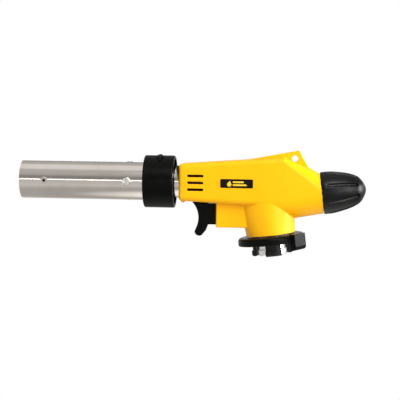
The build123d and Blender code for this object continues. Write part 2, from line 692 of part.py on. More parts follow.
with BuildPart() as knob:
    with BuildSketch(VALVE_SIDE):
        with BuildLine():
            Line((KNOB_BASE, 0), (KNOB_BASE, KNOB_R - 0.4))
            Line((KNOB_BASE, KNOB_R - 0.4), (KNOB_BASE + 0.4, KNOB_R))
            Line((KNOB_BASE + 0.4, KNOB_R), (38.5, KNOB_R))
            Spline(
                (38.5, KNOB_R), (47.0, 12.15), (54.0, 10.25), (59.0, 7.2), (KNOB_TIP, 0),
                tangents=[(1, 0), (0, -1)],
            )
            Line((KNOB_TIP, 0), (KNOB_BASE, 0))
        make_face()
    revolve(axis=VALVE_AXIS)
    # hollow behind the grip, round the hub
    revolve(ring_outline(VALVE_SIDE, KNOB_BASE - 1, 45.5, 5.6, 10.4), axis=VALVE_AXIS, mode=Mode.SUBTRACT)
    extrude(disc(valve_plane(KNOB_BASE - 1), INSERT_R + SEATED), amount=47 - KNOB_BASE, mode=Mode.SUBTRACT)
    # finger grooves, deeper towards the tip
    for turn in spread(GROOVES, 22.5):
        add(groove_tool(turn), mode=Mode.SUBTRACT)
finish(knob.part, "knob")

with BuildPart() as knob_insert:
    revolve(ring_outline(VALVE_SIDE, 36.5, 45.9, NEEDLE_R + RUNNING, INSERT_R), axis=VALVE_AXIS)
finish(knob_insert.part, "knob_insert")

# Cartridge end

HUB_BORE = BOSS_OUT_R + 0.05
FLANGE_HEIGHT = (4.95, 5.95)
GUIDE_BORE = HUB_R + 0.1
WASHER_ROOM_R = 13.4
WASHER_FLOOR = 3.9

facing = Vector(cos(radians(GUIDE_BLOCK_TURN)), sin(radians(GUIDE_BLOCK_TURN)), 0)
across = Vector(0, 0, 1).cross(facing)

with BuildPart() as guide_block:
    with BuildSketch(Plane(origin=(0, 0, 0), x_dir=facing, z_dir=-across)) as block_side:
        with BuildLine():
            Polyline(
                (GUIDE_BLOCK_ROOT, GUIDE_BLOCK_BOTTOM), (GUIDE_BLOCK_R, GUIDE_BLOCK_BOTTOM),
                (GUIDE_BLOCK_R, GUIDE_BLOCK_TOP), (GUIDE_BLOCK_ROOT, GUIDE_BLOCK_TOP), close=True,
            )
        make_face()
        block_corners = block_side.vertices().sort_by(Axis((0, 0, 0), facing))[-2:].sort_by(Axis.Z)
        fillet(block_corners[-1], 2.6)
        fillet(block_corners[0], 0.6)
    extrude(amount=GUIDE_BLOCK_SIDE, both=True)
    fillet(guide_block.faces().filter_by(Axis((0, 0, 0), across)).edges(), 0.5)

with BuildPart() as guide_ring:
    extrude(disc(Plane.XY, GUIDE_R), amount=GUIDE_THICKNESS)
    fillet(guide_ring.faces().sort_by(Axis.Z)[-1].edges(), 1.9)
    fillet(guide_ring.faces().sort_by(Axis.Z)[0].edges(), 0.5)
    add(guide_block)
    extrude(disc(Plane.XY.offset(-1), GUIDE_BORE), amount=8, mode=Mode.SUBTRACT)
    extrude(disc(Plane.XY.offset(WASHER_FLOOR), WASHER_ROOM_R), amount=3, mode=Mode.SUBTRACT)
finish(guide_ring.part, "guide_ring")

with BuildPart() as friction_washer:
    extrude(disc(Plane.XY.offset(WASHER_FLOOR + 0.1), 13.1, HUB_R + 0.15), amount=0.9)
finish(friction_washer.part, "friction_washer")

with BuildPart() as claw_plate:
    extrude(disc(Plane.XY.offset(FLANGE_HEIGHT[0]), 12.9, SHANK_R + 0.2), amount=1.0)
    extrude(disc(Plane.XY.offset(-0.3), HUB_R, HUB_BORE), amount=FLANGE_HEIGHT[0] + 0.3)
    for turn in spread(3, CLAW_TURN):
        neck_slice = sector(Plane.XY.offset(CLAW_BOTTOM + CLAW_LIP), HUB_BORE, HUB_R, turn, CLAW_SPAN)
        extrude(neck_slice, amount=-0.3 - CLAW_BOTTOM - CLAW_LIP)
        lip = sector(Plane.XY.offset(CLAW_BOTTOM), HUB_BORE, CLAW_R, turn, CLAW_SPAN)
        extrude(lip, amount=CLAW_LIP)
    low_edges = claw_plate.faces().group_by(Axis.Z)[0].edges()
    outer_low = low_edges.filter_by(GeomType.CIRCLE).filter_by(lambda rim: rim.radius > CLAW_R - 0.1)
    chamfer(outer_low, 0.9)
finish(claw_plate.part, "claw_plate")

SEAL_FLOOR = 3.2
SEAL_R = 3.6
with BuildPart() as inlet_boss:
    boss_section = [
        (STEM_R, -1.0), (4.4, -1.0), (4.4, 0.6), (7.4, 0.6), (7.4, BOSS_BOTTOM), (BOSS_RIM_R - 0.5, BOSS_BOTTOM),
        (BOSS_RIM_R, BOSS_BOTTOM + 0.5), (BOSS_RIM_R, BOSS_RIM_TOP), (BOSS_NECK_R, BOSS_RIM_TOP + 0.4),
        (BOSS_NECK_R, -1.2), (BOSS_OUT_R, -0.4), (BOSS_OUT_R, 4.9), (SHANK_R, 4.9), (SHANK_R, SHANK_TOP),
        (SEAL_R, SHANK_TOP), (SEAL_R, SEAL_FLOOR), (STEM_R, SEAL_FLOOR),
    ]
    revolve(outline(Plane.XZ, boss_section), axis=Axis.Z)
finish(inlet_boss.part, "inlet_boss")

with BuildPart() as stem_seal:
    revolve(
        outline(Plane.XZ, [(1.9, SEAL_FLOOR), (SEAL_R - 0.05, SEAL_FLOOR), (SEAL_R - 0.05, 5.4), (1.9, 5.4)]),
        axis=Axis.Z,
    )
finish(stem_seal.part, "stem_seal")

with BuildPart() as seal_retainer:
    revolve(
        outline(Plane.XZ, [(1.6, 5.4), (SEAL_R - SEATED, 5.4), (SEAL_R - SEATED, 8.5), (1.6, 8.5)]), axis=Axis.Z
    )
finish(seal_retainer.part, "seal_retainer")

with BuildPart() as inlet_filter:
    extrude(disc(Plane.XY.offset(8.5), SEAL_R - 0.05), amount=1.3)
finish(inlet_filter.part, "inlet_filter")

# Trigger and igniter

TRIGGER_REAR = 24.5
FINGER_REAR = 35.7
FINGER_SIDE = 5.2

with BuildPart() as finger:
    with BuildSketch(BURNER_SIDE.offset(-FINGER_SIDE)):
        with BuildLine():
            Line((FINGER_REAR, -12.85), (45.6, -12.4))
            ThreePointArc((45.6, -12.4), (41.85, -20.0), (42.4, -27.0))
            Line((42.4, -27.0), (44.0, -31.0))
            ThreePointArc((44.0, -31.0), (42.6, -33.3), (39.3, -33.2))
            Line((39.3, -33.2), (37.2, -30.6))
            Line((37.2, -30.6), (FINGER_REAR, -26.6))
            Line((FINGER_REAR, -26.6), (FINGER_REAR, -12.85))
        make_face()
    extrude(amount=2 * FINGER_SIDE)
    fillet(finger.faces().filter_by(Axis.Y).edges(), 0.8)

with BuildPart() as trigger:
    add(finger)
    slide = [(TRIGGER_REAR, -26.4), (37.2, -26.4), (37.2, -13.2), (TRIGGER_REAR, -13.4)]
    add(bar(slide, TRIGGER_SIDE))
    stop = [(27.0, -26.4), (28.6, -26.4), (28.6, -13.5), (27.0, -13.5)]
    add(bar(stop, TRIGGER_SIDE + 0.8))
finish(trigger.part, "trigger")

POCKET_R = 4.15
SPRING_SEAT = 14.4
PIEZO_SIDE = 5.2
PLUNGER_REAR = 14.0
HEAD_THICKNESS = 0.55


def igniter_plane(along):
    return Plane(origin=at(along, PIEZO_AXIS), x_dir=(0, -1, 0), z_dir=AHEAD)


with BuildPart() as piezo_case:
    low = PIEZO_AXIS - PIEZO_SIDE
    high = PIEZO_AXIS + PIEZO_SIDE
    add(bar([(PIEZO_REAR, low), (PIEZO_FRONT, low), (PIEZO_FRONT, high), (PIEZO_REAR, high)], 5.9))
    plunger_way = disc(igniter_plane(PLUNGER_REAR - TRIGGER_TRAVEL - 0.4), PLUNGER_R + RUNNING)
    extrude(plunger_way, amount=20, mode=Mode.SUBTRACT)
    extrude(disc(igniter_plane(SPRING_SEAT), POCKET_R, PLUNGER_R + 0.3), amount=6, mode=Mode.SUBTRACT)
finish(piezo_case.part, "piezo_case")

with BuildPart() as piezo_plunger:
    extrude(disc(igniter_plane(PLUNGER_REAR), PLUNGER_R), amount=TRIGGER_REAR - PLUNGER_REAR)
    extrude(disc(igniter_plane(TRIGGER_REAR - HEAD_THICKNESS), 4.1), amount=HEAD_THICKNESS)
finish(piezo_plunger.part, "piezo_plunger")

SPRING_LENGTH = TRIGGER_REAR - HEAD_THICKNESS - SPRING_SEAT - 2 * SPRING_WIRE - 0.1
spring_base = at(SPRING_SEAT + SPRING_WIRE + 0.05, PIEZO_AXIS)
with BuildPart() as piezo_spring:
    with BuildLine() as spring_line:
        Helix(SPRING_LENGTH / SPRING_TURNS, SPRING_LENGTH, SPRING_R, center=spring_base, direction=AHEAD)
    with BuildSketch(Plane(origin=spring_line.line @ 0, z_dir=spring_line.line % 0)):
        Circle(SPRING_WIRE)
    sweep()
finish(piezo_spring.part, "piezo_spring")

lead_side, lead_rise = LEAD_PLACE
LEAD_ROUTE = [
    at(13.0, PIEZO_AXIS + PIEZO_SIDE + 0.05, 0), at(13.0, -9.5, 0), at(19.0, -6.0, 5.0),
    at(26.0, -4.6, 6.4), at(33.0, lead_rise, lead_side), at(96.0, lead_rise, lead_side),
]
with BuildPart() as ignition_lead:
    with BuildLine() as lead_line:
        FilletPolyline(*LEAD_ROUTE, radius=2.5)
    with BuildSketch(Plane(origin=lead_line.line @ 0, z_dir=lead_line.line % 0)):
        Circle(LEAD_R)
    sweep()
finish(ignition_lead.part, "ignition_lead")


def lead_plane(along):
    return Plane(origin=at(along, lead_rise, lead_side), x_dir=(0, -1, 0), z_dir=AHEAD)


with BuildPart() as electrode_insulator:
    extrude(disc(lead_plane(96.05), 1.4, 0.45), amount=14)
finish(electrode_insulator.part, "electrode_insulator")

inward = (RISE * -lead_rise - Vector(0, lead_side, 0)).normalized()
with BuildPart() as spark_electrode:
    with BuildLine() as wire_line:
        tip_start = at(117.0, lead_rise, lead_side)
        FilletPolyline(
            at(97.0, lead_rise, lead_side), tip_start, tip_start + AHEAD * 1.5 + inward * 3.5, radius=1.2
        )
    with BuildSketch(Plane(origin=wire_line.line @ 0, z_dir=wire_line.line % 0)):
        Circle(0.4)
    sweep()
finish(spark_electrode.part, "spark_electrode")
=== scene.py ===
"""Looks for the cartridge blow torch head: camera, studio, materials and the finely shaped visible pieces."""
import json
from math import cos, pi, radians, sin, sqrt

import bmesh
import bpy
from mathutils import Matrix, Vector


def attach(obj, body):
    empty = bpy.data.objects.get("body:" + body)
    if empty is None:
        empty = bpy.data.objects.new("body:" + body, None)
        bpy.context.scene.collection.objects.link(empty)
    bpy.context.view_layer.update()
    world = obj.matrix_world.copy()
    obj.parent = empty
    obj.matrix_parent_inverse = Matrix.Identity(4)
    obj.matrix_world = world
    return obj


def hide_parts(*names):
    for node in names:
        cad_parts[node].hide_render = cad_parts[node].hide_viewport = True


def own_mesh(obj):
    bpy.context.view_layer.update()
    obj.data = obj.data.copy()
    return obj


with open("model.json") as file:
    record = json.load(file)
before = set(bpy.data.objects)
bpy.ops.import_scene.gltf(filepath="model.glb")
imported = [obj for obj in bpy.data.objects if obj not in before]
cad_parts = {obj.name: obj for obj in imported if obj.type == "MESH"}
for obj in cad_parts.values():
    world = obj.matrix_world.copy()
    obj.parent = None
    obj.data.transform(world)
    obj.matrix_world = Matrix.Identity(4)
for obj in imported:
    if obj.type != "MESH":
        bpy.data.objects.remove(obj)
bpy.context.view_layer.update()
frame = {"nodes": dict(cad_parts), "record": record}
MM = 0.001


# Burner axis: from its start on the cartridge's axis it rises towards the mouth

BURNER_TILT = radians(7.2)
BURNER_START = Vector((0, 0, 37.85 * MM))
AHEAD = Vector((-cos(BURNER_TILT), 0, sin(BURNER_TILT)))
RISE = Vector((sin(BURNER_TILT), 0, cos(BURNER_TILT)))
NEAR = Vector((0, -1, 0))


# Camera: the photograph's viewing angle

CAMERA_TURN = 5.0  # degrees, as are the next two; 0 looks straight at the near side
CAMERA_RISE = 3.0
CAMERA_ROLL = 6.4
CAMERA_DISTANCE = 0.695
CAMERA_TARGET = Vector((-0.0422, 0.0, 0.0317))
SENSOR_WIDTH = 36  # mm, as is the lens
LENS = 98.55
CLIP_START = 0.05
CLIP_END = 50


def make_camera():
    turn, rise, roll = radians(CAMERA_TURN), radians(CAMERA_RISE), radians(CAMERA_ROLL)
    back = Vector((sin(turn) * cos(rise), -cos(turn) * cos(rise), sin(rise)))
    right = Vector((cos(turn), sin(turn), 0))
    up = back.cross(right)
    x = right * cos(roll) - up * sin(roll)
    y = right * sin(roll) + up * cos(roll)
    data = bpy.data.cameras.new("camera")
    data.sensor_width = SENSOR_WIDTH
    data.lens = LENS
    data.clip_start = CLIP_START
    data.clip_end = CLIP_END
    camera = bpy.data.objects.new("camera", data)
    bpy.context.scene.collection.objects.link(camera)
    turned = Matrix((x, y, back)).transposed().to_4x4()
    camera.matrix_world = Matrix.Translation(CAMERA_TARGET + back * CAMERA_DISTANCE) @ turned
    bpy.context.scene.camera = camera


make_camera()


# Node helpers

def new_material(name):
    """A new Principled material, with its node tree and its shader node."""
    material = bpy.data.materials.new(name)
    material.use_nodes = True
    tree = material.node_tree
    return material, tree, tree.nodes["Principled BSDF"]


def link(tree, output, target):
    tree.links.new(output, target)


def place(tree, scale=(1, 1, 1), turn=(0, 0, 0)):
    """Coordinates in metres for a texture: scaled along the object's own axes first, and then turned."""
    where = tree.nodes.new("ShaderNodeTexCoord")
    mapping = tree.nodes.new("ShaderNodeMapping")
    mapping.inputs["Scale"].default_value = scale
    mapping.inputs["Rotation"].default_value = turn
    link(tree, where.outputs["Object"], mapping.inputs["Vector"])
    return mapping.outputs["Vector"]


def noise(tree, vector, scale, detail, rough=0.55):
    texture = tree.nodes.new("ShaderNodeTexNoise")
    texture.inputs["Scale"].default_value = scale
    texture.inputs["Detail"].default_value = detail
    texture.inputs["Roughness"].default_value = rough
    link(tree, vector, texture.inputs["Vector"])
    return texture.outputs["Fac"]


def map_range(tree, value, start, end, low=0.0, high=1.0):
    """A value that goes from low to high as the given one goes from start to end."""
    remap = tree.nodes.new("ShaderNodeMapRange")
    remap.inputs["From Min"].default_value = start
    remap.inputs["From Max"].default_value = end
    remap.inputs["To Min"].default_value = low
    remap.inputs["To Max"].default_value = high
    link(tree, value, remap.inputs["Value"])
    return remap.outputs["Result"]


def spread_to(tree, value, between):
    """The middle stretch of a texture's values spread over a range of numbers."""
    return map_range(tree, value, 0.3, 0.7, *between)


def two_colours(tree, value, first, second, start=0.35, end=0.65):
    ramp = tree.nodes.new("ShaderNodeValToRGB")
    ramp.color_ramp.elements[0].position = start
    ramp.color_ramp.elements[0].color = (*first, 1)
    ramp.color_ramp.elements[1].position = end
    ramp.color_ramp.elements[1].color = (*second, 1)
    link(tree, value, ramp.inputs["Fac"])
    return ramp.outputs["Color"]


def bump(tree, height, strength, distance, before=None):
    node = tree.nodes.new("ShaderNodeBump")
    node.inputs["Strength"].default_value = strength
    node.inputs["Distance"].default_value = distance
    link(tree, height, node.inputs["Height"])
    if before:
        link(tree, before, node.inputs["Normal"])
    return node.outputs["Normal"]


def soft_edges(tree, radius=0.00025):
    """Normal that rounds off sharp edges a little, as moulds and tumbling do."""
    node = tree.nodes.new("ShaderNodeBevel")
    node.samples = 6
    node.inputs["Radius"].default_value = radius
    return node.outputs["Normal"]


# Materials

def moulded_plastic(name, dark, light, rough, grain, grain_height, specular):
    """Moulded plastic: faint colour drift, cloudy gloss, fine mould grain and a few handling scuffs."""
    material, tree, shader = new_material(name)
    even = place(tree)
    drift = noise(tree, even, scale=45, detail=4)
    link(tree, two_colours(tree, drift, dark, light), shader.inputs["Base Color"])
    gloss = noise(tree, even, scale=160, detail=5, rough=0.7)
    link(tree, spread_to(tree, gloss, rough), shader.inputs["Roughness"])
    fine = bump(tree, noise(tree, even, grain, detail=4), 0.35, grain_height, soft_edges(tree))
    askew = place(tree, scale=(1, 1, 9), turn=(0.3, 0.5, 0.2))
    scuffs = noise(tree, askew, scale=260, detail=6, rough=0.75)
    link(tree, bump(tree, scuffs, 0.12, grain_height * 2, fine), shader.inputs["Normal"])
    shader.inputs["Specular IOR Level"].default_value = specular
    return material


def brushed_metal(name, dark, light, rough, axes):
    """Metal with soft stains, colour drift and fine brush lines, which run along the axes scaled down."""
    material, tree, shader = new_material(name)
    lines = noise(tree, place(tree, axes, TEXTURE_TURN), scale=900, detail=3, rough=0.6)
    stains = noise(tree, place(tree), scale=60, detail=5, rough=0.6)
    link(tree, two_colours(tree, stains, dark, light, 0.3, 0.7), shader.inputs["Base Color"])
    link(tree, spread_to(tree, lines, rough), shader.inputs["Roughness"])
    link(tree, bump(tree, lines, 0.10, 0.00002, soft_edges(tree, 0.00015)), shader.inputs["Normal"])
    shader.inputs["Metallic"].default_value = 1.0
    return material


def plain_metal(name, dark, light, rough, grain=700, grain_height=0.00003):
    """Turned or cast metal: mottled colour and roughness with a fine all-round grain."""
    material, tree, shader = new_material(name)
    even = place(tree)
    mottle = noise(tree, even, scale=220, detail=5, rough=0.6)
    link(tree, two_colours(tree, mottle, dark, light), shader.inputs["Base Color"])
    gloss = noise(tree, even, scale=400, detail=4)
    link(tree, spread_to(tree, gloss, rough), shader.inputs["Roughness"])
    fine = bump(tree, noise(tree, even, grain, detail=4), 0.3, grain_height, soft_edges(tree, 0.0002))
    link(tree, fine, shader.inputs["Normal"])
    shader.inputs["Metallic"].default_value = 1.0
    return material


def painted_shade_shader(tree):
    """Painted shade: dull brown speckled metal that stands in for the housing's shadow and its yellow
    reflection on the sleeve.
    """
    shader = tree.nodes.new("ShaderNodeBsdfPrincipled")
    shader.inputs["Metallic"].default_value = 0.6
    speckle = noise(tree, place(tree), scale=500, detail=4)
    brown = two_colours(tree, speckle, first=(0.018, 0.008, 0.003), second=(0.045, 0.020, 0.008))
    link(tree, brown, shader.inputs["Base Color"])
    gloss = noise(tree, place(tree), scale=700, detail=3)
    link(tree, spread_to(tree, gloss, (0.5, 0.7)), shader.inputs["Roughness"])
    return shader


def sleeve_metal(name, dark, light, rough, axes):
    """Bright drawn steel, with painted brown shade on the stretch inside the housing."""
    material = brushed_metal(name, dark, light, rough, axes)
    tree = material.node_tree
    split = tree.nodes.new("ShaderNodeSeparateXYZ")
    link(tree, place(tree, turn=TEXTURE_TURN), split.inputs["Vector"])
    # Painted shade: the share of dull brown, from bright steel outside the housing to brown inside it
    share = map_range(tree, split.outputs["X"], PAINTED_SHADE_FROM - PAINTED_SHADE_FADE, PAINTED_SHADE_FROM + PAINTED_SHADE_FADE)
    both = tree.nodes.new("ShaderNodeMixShader")
    link(tree, share, both.inputs[0])
    link(tree, tree.nodes["Principled BSDF"].outputs["BSDF"], both.inputs[1])
    link(tree, painted_shade_shader(tree).outputs["BSDF"], both.inputs[2])
    link(tree, both.outputs["Shader"], tree.nodes["Material Output"].inputs["Surface"])
    return material


def soft_material(name, dark, light, rough, grain):
    """Rubber, ceramic or silicone: even sheen about one roughness, no metal, fine grain."""
    material, tree, shader = new_material(name)
    even = place(tree)
    drift = noise(tree, even, scale=300, detail=4)
    link(tree, two_colours(tree, drift, dark, light), shader.inputs["Base Color"])
    gloss = noise(tree, even, scale=500, detail=3)
    link(tree, spread_to(tree, gloss, (rough * 0.85, rough * 1.15)), shader.inputs["Roughness"])
    link(tree, bump(tree, noise(tree, even, grain, detail=3), 0.2, 0.00003), shader.inputs["Normal"])
    return material


# The turn follows the scaling, so brush lines stay level or upright and don't tilt with the burner
TEXTURE_TURN = (0, BURNER_TILT, 0)
# Place of the painted shade's border on the turned x axis: the border leans 14.4 degrees from square to the
# sleeve
PAINTED_SHADE_FROM = -0.0474
PAINTED_SHADE_FADE = 0.0004

# One for each slot of the CAD, and label_print for the mark
MATERIALS = {
    "yellow_abs": moulded_plastic(
        "yellow_abs", dark=(0.95, 0.460, 0.0), light=(0.97, 0.485, 0.001),
        rough=(0.30, 0.42), grain=2600, grain_height=0.00002, specular=0.17),
    "label_black": moulded_plastic(
        "label_black", dark=(0.0020, 0.0015, 0.0010), light=(0.0034, 0.0026, 0.0018),
        rough=(0.2, 0.3), grain=1800, grain_height=0.00001, specular=0.16),
    "label_print": moulded_plastic(
        "label_print", dark=(0.80, 0.50, 0.02), light=(0.90, 0.60, 0.03),
        rough=(0.35, 0.5), grain=1800, grain_height=0.00001, specular=0.3),
    "stainless": brushed_metal(
        "stainless", dark=(0.72, 0.66, 0.61), light=(0.80, 0.745, 0.70),
        rough=(0.10, 0.15), axes=(0.02, 1, 1)),
    "zinc_screw": plain_metal(
        "zinc_screw", dark=(0.72, 0.71, 0.67), light=(0.85, 0.84, 0.80), rough=(0.14, 0.26)),
    # Its brown stretch inside the housing is painted shade
    "bright_steel": sleeve_metal(
        "bright_steel", dark=(0.66, 0.62, 0.58), light=(0.76, 0.73, 0.70),
        rough=(0.08, 0.16), axes=(1, 0.05, 0.05)),
    "black_nylon": moulded_plastic(
        "black_nylon", dark=(0.0014, 0.0013, 0.0012), light=(0.0022, 0.0021, 0.0019),
        rough=(0.26, 0.38), grain=2400, grain_height=0.00003, specular=0.075),
    "black_knob": moulded_plastic(
        "black_knob", dark=(0.0014, 0.0014, 0.0014), light=(0.0024, 0.0024, 0.0024),
        rough=(0.28, 0.38), grain=2600, grain_height=0.00003, specular=0.22),
    "black_steel": moulded_plastic(
        "black_steel", dark=(0.0020, 0.0020, 0.0019), light=(0.0056, 0.0053, 0.0050),
        rough=(0.26, 0.46), grain=1500, grain_height=0.00003, specular=0.22),
    "brass": plain_metal(
        "brass", dark=(0.62, 0.42, 0.16), light=(0.74, 0.54, 0.24), rough=(0.18, 0.34)),
    "cast_zinc": plain_metal(
        "cast_zinc", dark=(0.80, 0.79, 0.78), light=(0.92, 0.91, 0.90),
        rough=(0.14, 0.30), grain=1200, grain_height=0.00005),
    "nitrile": soft_material(
        "nitrile", dark=(0.010, 0.010, 0.010), light=(0.02, 0.02, 0.02), rough=0.6, grain=2000),
    "sintered": plain_metal(
        "sintered", dark=(0.40, 0.28, 0.15), light=(0.56, 0.42, 0.24),
        rough=(0.4, 0.6), grain=2500, grain_height=0.0001),
    "heat_steel": plain_metal(
        "heat_steel", dark=(0.26, 0.23, 0.20), light=(0.42, 0.38, 0.34), rough=(0.3, 0.5)),
    "igniter_case": soft_material(
        "igniter_case", dark=(0.55, 0.54, 0.50), light=(0.64, 0.63, 0.58), rough=0.45, grain=1500),
    "lead_silicone": soft_material(
        "lead_silicone", dark=(0.30, 0.015, 0.012), light=(0.38, 0.025, 0.02), rough=0.5, grain=1500),
    "ceramic": soft_material(
        "ceramic", dark=(0.70, 0.67, 0.62), light=(0.78, 0.76, 0.72), rough=0.25, grain=1500),
    "spring_steel": plain_metal(
        "spring_steel", dark=(0.46, 0.45, 0.43), light=(0.60, 0.59, 0.57), rough=(0.2, 0.35)),
}


def dress_nodes():
    """Every CAD node gets its slot's material and smooth shading inside each of its faces."""
    for part in frame["record"]["subparts"]:
        shown = frame["nodes"][part["node"]]
        shown.data.materials.clear()
        shown.data.materials.append(MATERIALS[part["material_slot"]])
        for face in shown.data.polygons:
            face.use_smooth = True


dress_nodes()


# Mesh helpers

def join_rings(form, rings):
    """Four-sided faces between neighbouring closed rings, which have the same number of corners."""
    for first, second in zip(rings, rings[1:]):
        for side in range(len(first)):
            after = (side + 1) % len(first)
            form.faces.new((first[side], first[after], second[after], second[side]))


def new_piece(form, name, material):
    """A visible piece made from a finished bmesh, with its faces turned outwards."""
    bmesh.ops.recalc_face_normals(form, faces=form.faces)
    mesh = bpy.data.meshes.new(name)
    form.to_mesh(mesh)
    form.free()
    mesh.materials.append(MATERIALS[material])
    piece = bpy.data.objects.new(name, mesh)
    bpy.context.scene.collection.objects.link(piece)
    return piece


# Gas knob: half round finger grooves that run out at the base and end in a step near the tip.
# Sizes in mm. A point of an outline is its distance from the cartridge's axis and from the knob's.

KNOB_HEIGHT = 27.7  # of its axis
KNOB_BACK = [(45.5, 5.6), (45.5, 10.4), (34.9, 10.4), (34.9, 12.9), (35.0, 13.15), (35.3, 13.3), (37.2, 13.3)]
KNOB_FRONT = [(38.5, 13.3), (47.0, 12.15), (54.0, 10.25), (59.0, 7.2), (62.3, 0.0)]
STRAIGHT_RINGS = 9  # between the two outlines
STRAIGHT_STEP = 0.13
KNOB_SIDES = 416
SHARP_ANGLE = radians(50)
GROOVES = 8
GROOVE_PITCH = 360 / GROOVES  # degrees
GROOVE_FIRST = 22.5  # degrees from straight up
GROOVE_START = 37.6
GROOVE_END = 57.5
GROOVE_HALF_WIDTH = 1.15
GROOVE_OPENS = 1.2  # over which it reaches its full width at the base
GROOVE_SINKS = 1.5  # over which it reaches its depth there
GROOVE_CLOSES = 0.5  # over which it narrows at the tip
GROOVE_BLUNTNESS = 0.25  # share of its width that is left at the tip
GROOVE_DEPTH = 0.62  # at the base
GROOVE_DEEPER = 0.65  # by how much more at the tip


def knob_front(steps=44):
    """Points of the grip's outline: a smooth curve through the given ones, square to the axis at the tip."""
    count = len(KNOB_FRONT)
    tangents = [(1.0, 0.0)]
    for number in range(1, count - 1):
        before, after = KNOB_FRONT[number - 1], KNOB_FRONT[number + 1]
        tangents.append((after[0] - before[0], after[1] - before[1]))
    tangents.append((0.0, -1.0))
    points = []
    for number in range(count - 1):
        start, end = Vector(KNOB_FRONT[number]), Vector(KNOB_FRONT[number + 1])
        span = (end - start).length
        leave = Vector(tangents[number]).normalized() * span
        arrive = Vector(tangents[number + 1]).normalized() * span
        for step in range(steps):
            t = step / steps
            point = start * (2 * t ** 3 - 3 * t ** 2 + 1) + leave * (t ** 3 - 2 * t ** 2 + t)
            point += end * (3 * t ** 2 - 2 * t ** 3) + arrive * (t ** 3 - t ** 2)
            points.append((point.x, point.y))
    return points


def groove_depth(x, aside):
    """Depth of the finger groove at a place along the knob and a distance aside from its middle."""
    if not GROOVE_START < x < GROOVE_END:
        return 0.0
    from_start = x - GROOVE_START
    opened = min(1.0, sqrt(from_start / GROOVE_OPENS))
    closed = min(1.0, sqrt((GROOVE_END - x) / GROOVE_CLOSES) + GROOVE_BLUNTNESS)
    half = GROOVE_HALF_WIDTH * opened * closed
    if abs(aside) >= half:
        return 0.0
    along = from_start / (GROOVE_END - GROOVE_START)
    deepest = min(1.0, from_start / GROOVE_SINKS) * (GROOVE_DEPTH + GROOVE_DEEPER * along)
    return deepest * sqrt(1 - (aside / half) ** 2)


def knob_outline():
    """The whole outline, from the bottom of the hollow at the back to near the tip."""
    start, radius = KNOB_BACK[-1]
    straight = [(start + STRAIGHT_STEP * step, radius) for step in range(1, STRAIGHT_RINGS + 1)]
    return KNOB_BACK + straight + knob_front()


def knob_corner(x, radius, side, grooved):
    """Place of one corner of the ring at x, sunk into a finger groove where there is one."""
    turn = 360 * side / KNOB_SIDES
    aside = radians((turn - GROOVE_FIRST + GROOVE_PITCH / 2) % GROOVE_PITCH - GROOVE_PITCH / 2) * radius
    depth = groove_depth(x, aside) if grooved else 0.0
    reach = (radius - depth) * MM
    return (x * MM, -reach * sin(radians(turn)), KNOB_HEIGHT * MM + reach * cos(radians(turn)))


def knob_skin():
    form = bmesh.new()
    rings = []
    for number, (x, radius) in enumerate(knob_outline()):
        grooved = number >= len(KNOB_BACK)
        rings.append([form.verts.new(knob_corner(x, radius, side, grooved)) for side in range(KNOB_SIDES)])
    join_rings(form, rings)
    tip = form.verts.new((KNOB_FRONT[-1][0] * MM, 0, KNOB_HEIGHT * MM))
    for side in range(KNOB_SIDES):
        form.faces.new((rings[-1][side], rings[-1][(side + 1) % KNOB_SIDES], tip))
    piece = new_piece(form, "knob_skin", "black_knob")
    for face in piece.data.polygons:
        face.use_smooth = True
    piece.data.set_sharp_from_angle(angle=SHARP_ANGLE)
    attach(piece, "knob")
    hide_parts("knob")


knob_skin()


# Return spring of the igniter, with closed end coils; the real one shortens as the trigger is pulled, this
# one keeps its length

SPRING_SEAT = 14.45  # ahead of the burner axis's start, mm like the other sizes
SPRING_DROP = 20.0  # below the burner axis
SPRING_LENGTH = 8.85  # between the middles of the wire at its two ends
SPRING_RADIUS = 3.55  # to the middle of the wire
SPRING_WIRE = 0.3  # the wire's radius
SPRING_TURNS = 5
CLOSED_TURNS = 0.75  # at each end
COIL_STEPS = 40  # rings in a turn
WIRE_SIDES = 10


def coil_rise(turns):
    """Distance along the spring after a number of turns."""
    closed = CLOSED_TURNS * 2 * SPRING_WIRE
    if turns < CLOSED_TURNS:
        return closed * turns / CLOSED_TURNS
    if turns > SPRING_TURNS - CLOSED_TURNS:
        return SPRING_LENGTH - closed * (SPRING_TURNS - turns) / CLOSED_TURNS
    share = (turns - CLOSED_TURNS) / (SPRING_TURNS - 2 * CLOSED_TURNS)
    return closed + (SPRING_LENGTH - 2 * closed) * share


def wire_ring(form, seat, turns):
    """Closed ring of corners round the wire, after a number of turns."""
    out = RISE * cos(2 * pi * turns) + NEAR * sin(2 * pi * turns)
    middle = seat + AHEAD * ((SPRING_WIRE + coil_rise(turns)) * MM) + out * (SPRING_RADIUS * MM)
    ring = []
    for side in range(WIRE_SIDES):
        turn = 2 * pi * side / WIRE_SIDES
        ring.append(form.verts.new(middle + (out * cos(turn) + AHEAD * sin(turn)) * (SPRING_WIRE * MM)))
    return ring


def spring_coil():
    seat = BURNER_START + AHEAD * (SPRING_SEAT * MM) - RISE * (SPRING_DROP * MM)
    form = bmesh.new()
    rings = [wire_ring(form, seat, step / COIL_STEPS) for step in range(SPRING_TURNS * COIL_STEPS + 1)]
    join_rings(form, rings)
    form.faces.new(rings[0])
    form.faces.new(rings[-1])
    piece = new_piece(form, "spring_coil", "spring_steel")
    for face in piece.data.polygons:
        face.use_smooth = len(face.vertices) == 4
    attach(piece, "torch_body")
    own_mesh(piece)
    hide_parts("piezo_spring")


spring_coil()


# Mark on the label plate: a plain flame drop and two bars stand where the printing is.
# Sizes in mm. Places on the plate are rearward of the label's centre, and up from it.

